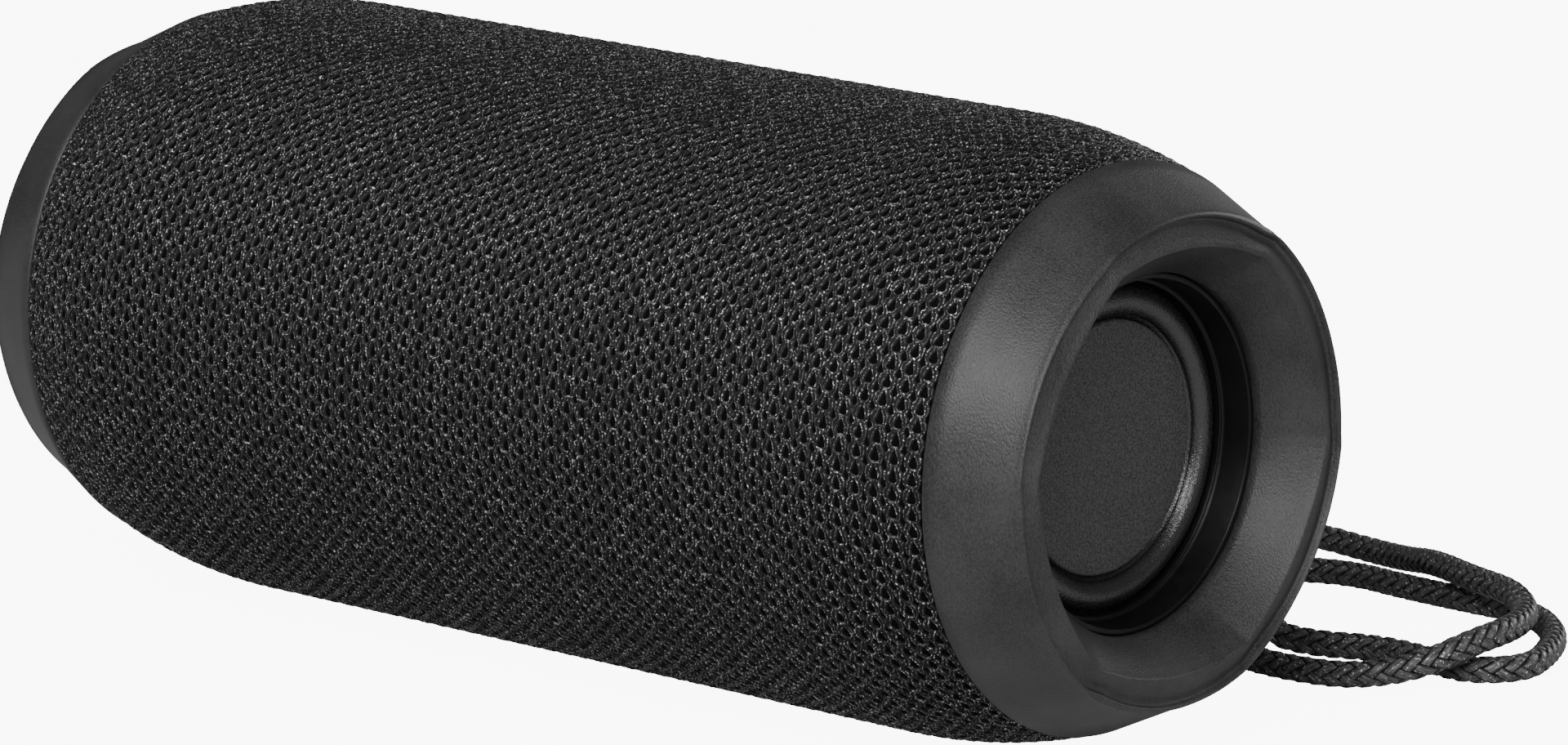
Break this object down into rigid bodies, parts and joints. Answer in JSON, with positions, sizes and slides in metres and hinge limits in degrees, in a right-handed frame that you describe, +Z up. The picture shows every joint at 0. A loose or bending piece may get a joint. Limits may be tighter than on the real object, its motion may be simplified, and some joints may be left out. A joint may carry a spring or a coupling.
{
  "type": "portable bluetooth speaker",
  "caption": "Cloth-covered cylindrical wireless speaker with tapering end collars, a passive radiator in each end, a rear button panel, a hinged port cover and a braided cord strap.",
  "frame": {"origin": "on the resting surface, under the middle of the cylinder's axis", "axes": "+X along the cylinder towards the end beside the strap, -Y the front that the drivers face, +Z up"},
  "size_m": [0.1621, 0.1284, 0.0703],
  "materials": {
    "cloth": "black knitted mesh",
    "cabinet_plastic": "moulded black",
    "collar_soft_touch": "soft-touch dark grey with fine grain",
    "frame_plastic": "black satin",
    "driver_steel": "black",
    "rubber": "semi-gloss black",
    "gasket_foam": "black foam",
    "disc_plastic": "fine grain dark grey",
    "weight_steel": "plain",
    "screw_steel": "black oxide",
    "magnet_steel": "zinc plated",
    "copper": "enamelled winding",
    "paper_cone": "black pulp",
    "panel_rubber": "matt moulded",
    "button_rubber": "matt moulded",
    "circuit_board": "green solder mask",
    "component_black": "moulded",
    "component_metal": "tinned",
    "light_pipe": "frosted",
    "battery_wrap": "shrink sleeve",
    "strap_cord": "black braided polyester"
  },
  "bodies": {
    "root": {"fabric_sleeve": "cloth", "grille_shell": "cabinet_plastic", "cabinet_front": "cabinet_plastic", "cabinet_rear": "cabinet_plastic", "battery_cradle": "cabinet_plastic", "end_collar_left": "collar_soft_touch", "end_collar_right": "collar_soft_touch", "radiator_frame_left": "frame_plastic", "radiator_frame_right": "frame_plastic", "driver_basket_left": "driver_steel", "driver_basket_right": "driver_steel", "radiator_surround_left": "rubber", "radiator_surround_right": "rubber", "driver_surround_left": "rubber", "driver_surround_right": "rubber", "rubber_foot": "rubber", "radiator_gasket_left": "gasket_foam", "radiator_gasket_right": "gasket_foam", "driver_gasket_left": "gasket_foam", "driver_gasket_right": "gasket_foam", "radiator_screws_left": "screw_steel", "radiator_screws_right": "screw_steel", "driver_screws_left": "screw_steel", "driver_screws_right": "screw_steel", "board_screws": "screw_steel", "port_cover_pin": "screw_steel", "driver_magnet_left": "magnet_steel", "driver_magnet_right": "magnet_steel", "control_panel": "panel_rubber", "strap_anchor": "panel_rubber", "control_board": "circuit_board", "main_board": "circuit_board", "tact_switches": "component_black", "audio_jack": "component_black", "amplifier_chip": "component_black", "microphone": "component_black", "charging_port": "component_metal", "bluetooth_module": "component_metal", "capacitors": "component_metal", "status_light": "light_pipe", "battery_cell": "battery_wrap", "strap_inner_loop": "strap_cord", "strap_outer_loop": "strap_cord"},
    "radiator_left_moving": {"radiator_disc_left": "disc_plastic", "radiator_weight_left": "weight_steel"},
    "radiator_right_moving": {"radiator_disc_right": "disc_plastic", "radiator_weight_right": "weight_steel"},
    "diaphragm_left": {"driver_cone_left": "paper_cone", "dust_cap_left": "paper_cone", "voice_coil_left": "copper"},
    "diaphragm_right": {"driver_cone_right": "paper_cone", "dust_cap_right": "paper_cone", "voice_coil_right": "copper"},
    "port_flap": {"port_cover": "panel_rubber"},
    "key_power": {"button_power": "button_rubber"},
    "key_volume_down": {"button_volume_down": "button_rubber"},
    "key_play_pause": {"button_play_pause": "button_rubber"},
    "key_volume_up": {"button_volume_up": "button_rubber"},
    "key_mode": {"button_mode": "button_rubber"}
  },
  "joints": [
    {"name": "radiator_left_stroke", "type": "slide", "parent": "root", "child": "radiator_left_moving", "axis": [-1, 0, 0], "range_m": [-0.0015, 0.0015], "stiffness_N_per_m": 900, "deforming": ["radiator_surround_left"]},
    {"name": "driver_left_stroke", "type": "slide", "parent": "root", "child": "diaphragm_left", "axis": [0, -1, 0], "range_m": [-0.001, 0.001], "stiffness_N_per_m": 1500, "deforming": ["driver_surround_left"]},
    {"name": "radiator_right_stroke", "type": "slide", "parent": "root", "child": "radiator_right_moving", "axis": [1, 0, 0], "range_m": [-0.0015, 0.0015], "stiffness_N_per_m": 900, "deforming": ["radiator_surround_right"]},
    {"name": "driver_right_stroke", "type": "slide", "parent": "root", "child": "diaphragm_right", "axis": [0, -1, 0], "range_m": [-0.001, 0.001], "stiffness_N_per_m": 1500, "deforming": ["driver_surround_right"]},
    {"name": "power_press", "type": "slide", "parent": "root", "child": "key_power", "axis": [0, -1, 0], "range_m": [0, 0.0004], "stiffness_N_per_m": 2500},
    {"name": "volume_down_press", "type": "slide", "parent": "root", "child": "key_volume_down", "axis": [0, -1, 0], "range_m": [0, 0.0004], "stiffness_N_per_m": 2500},
    {"name": "play_pause_press", "type": "slide", "parent": "root", "child": "key_play_pause", "axis": [0, -1, 0], "range_m": [0, 0.0004], "stiffness_N_per_m": 2500},
    {"name": "volume_up_press", "type": "slide", "parent": "root", "child": "key_volume_up", "axis": [0, -1, 0], "range_m": [0, 0.0004], "stiffness_N_per_m": 2500},
    {"name": "mode_press", "type": "slide", "parent": "root", "child": "key_mode", "axis": [0, -1, 0], "range_m": [0, 0.0004], "stiffness_N_per_m": 2500},
    {"name": "port_cover_hinge", "type": "hinge", "parent": "root", "child": "port_flap", "pos_m": [0.032, 0.034, 0.0284], "axis": [-1, 0, 0], "range_deg": [0, 105]}
  ]
}
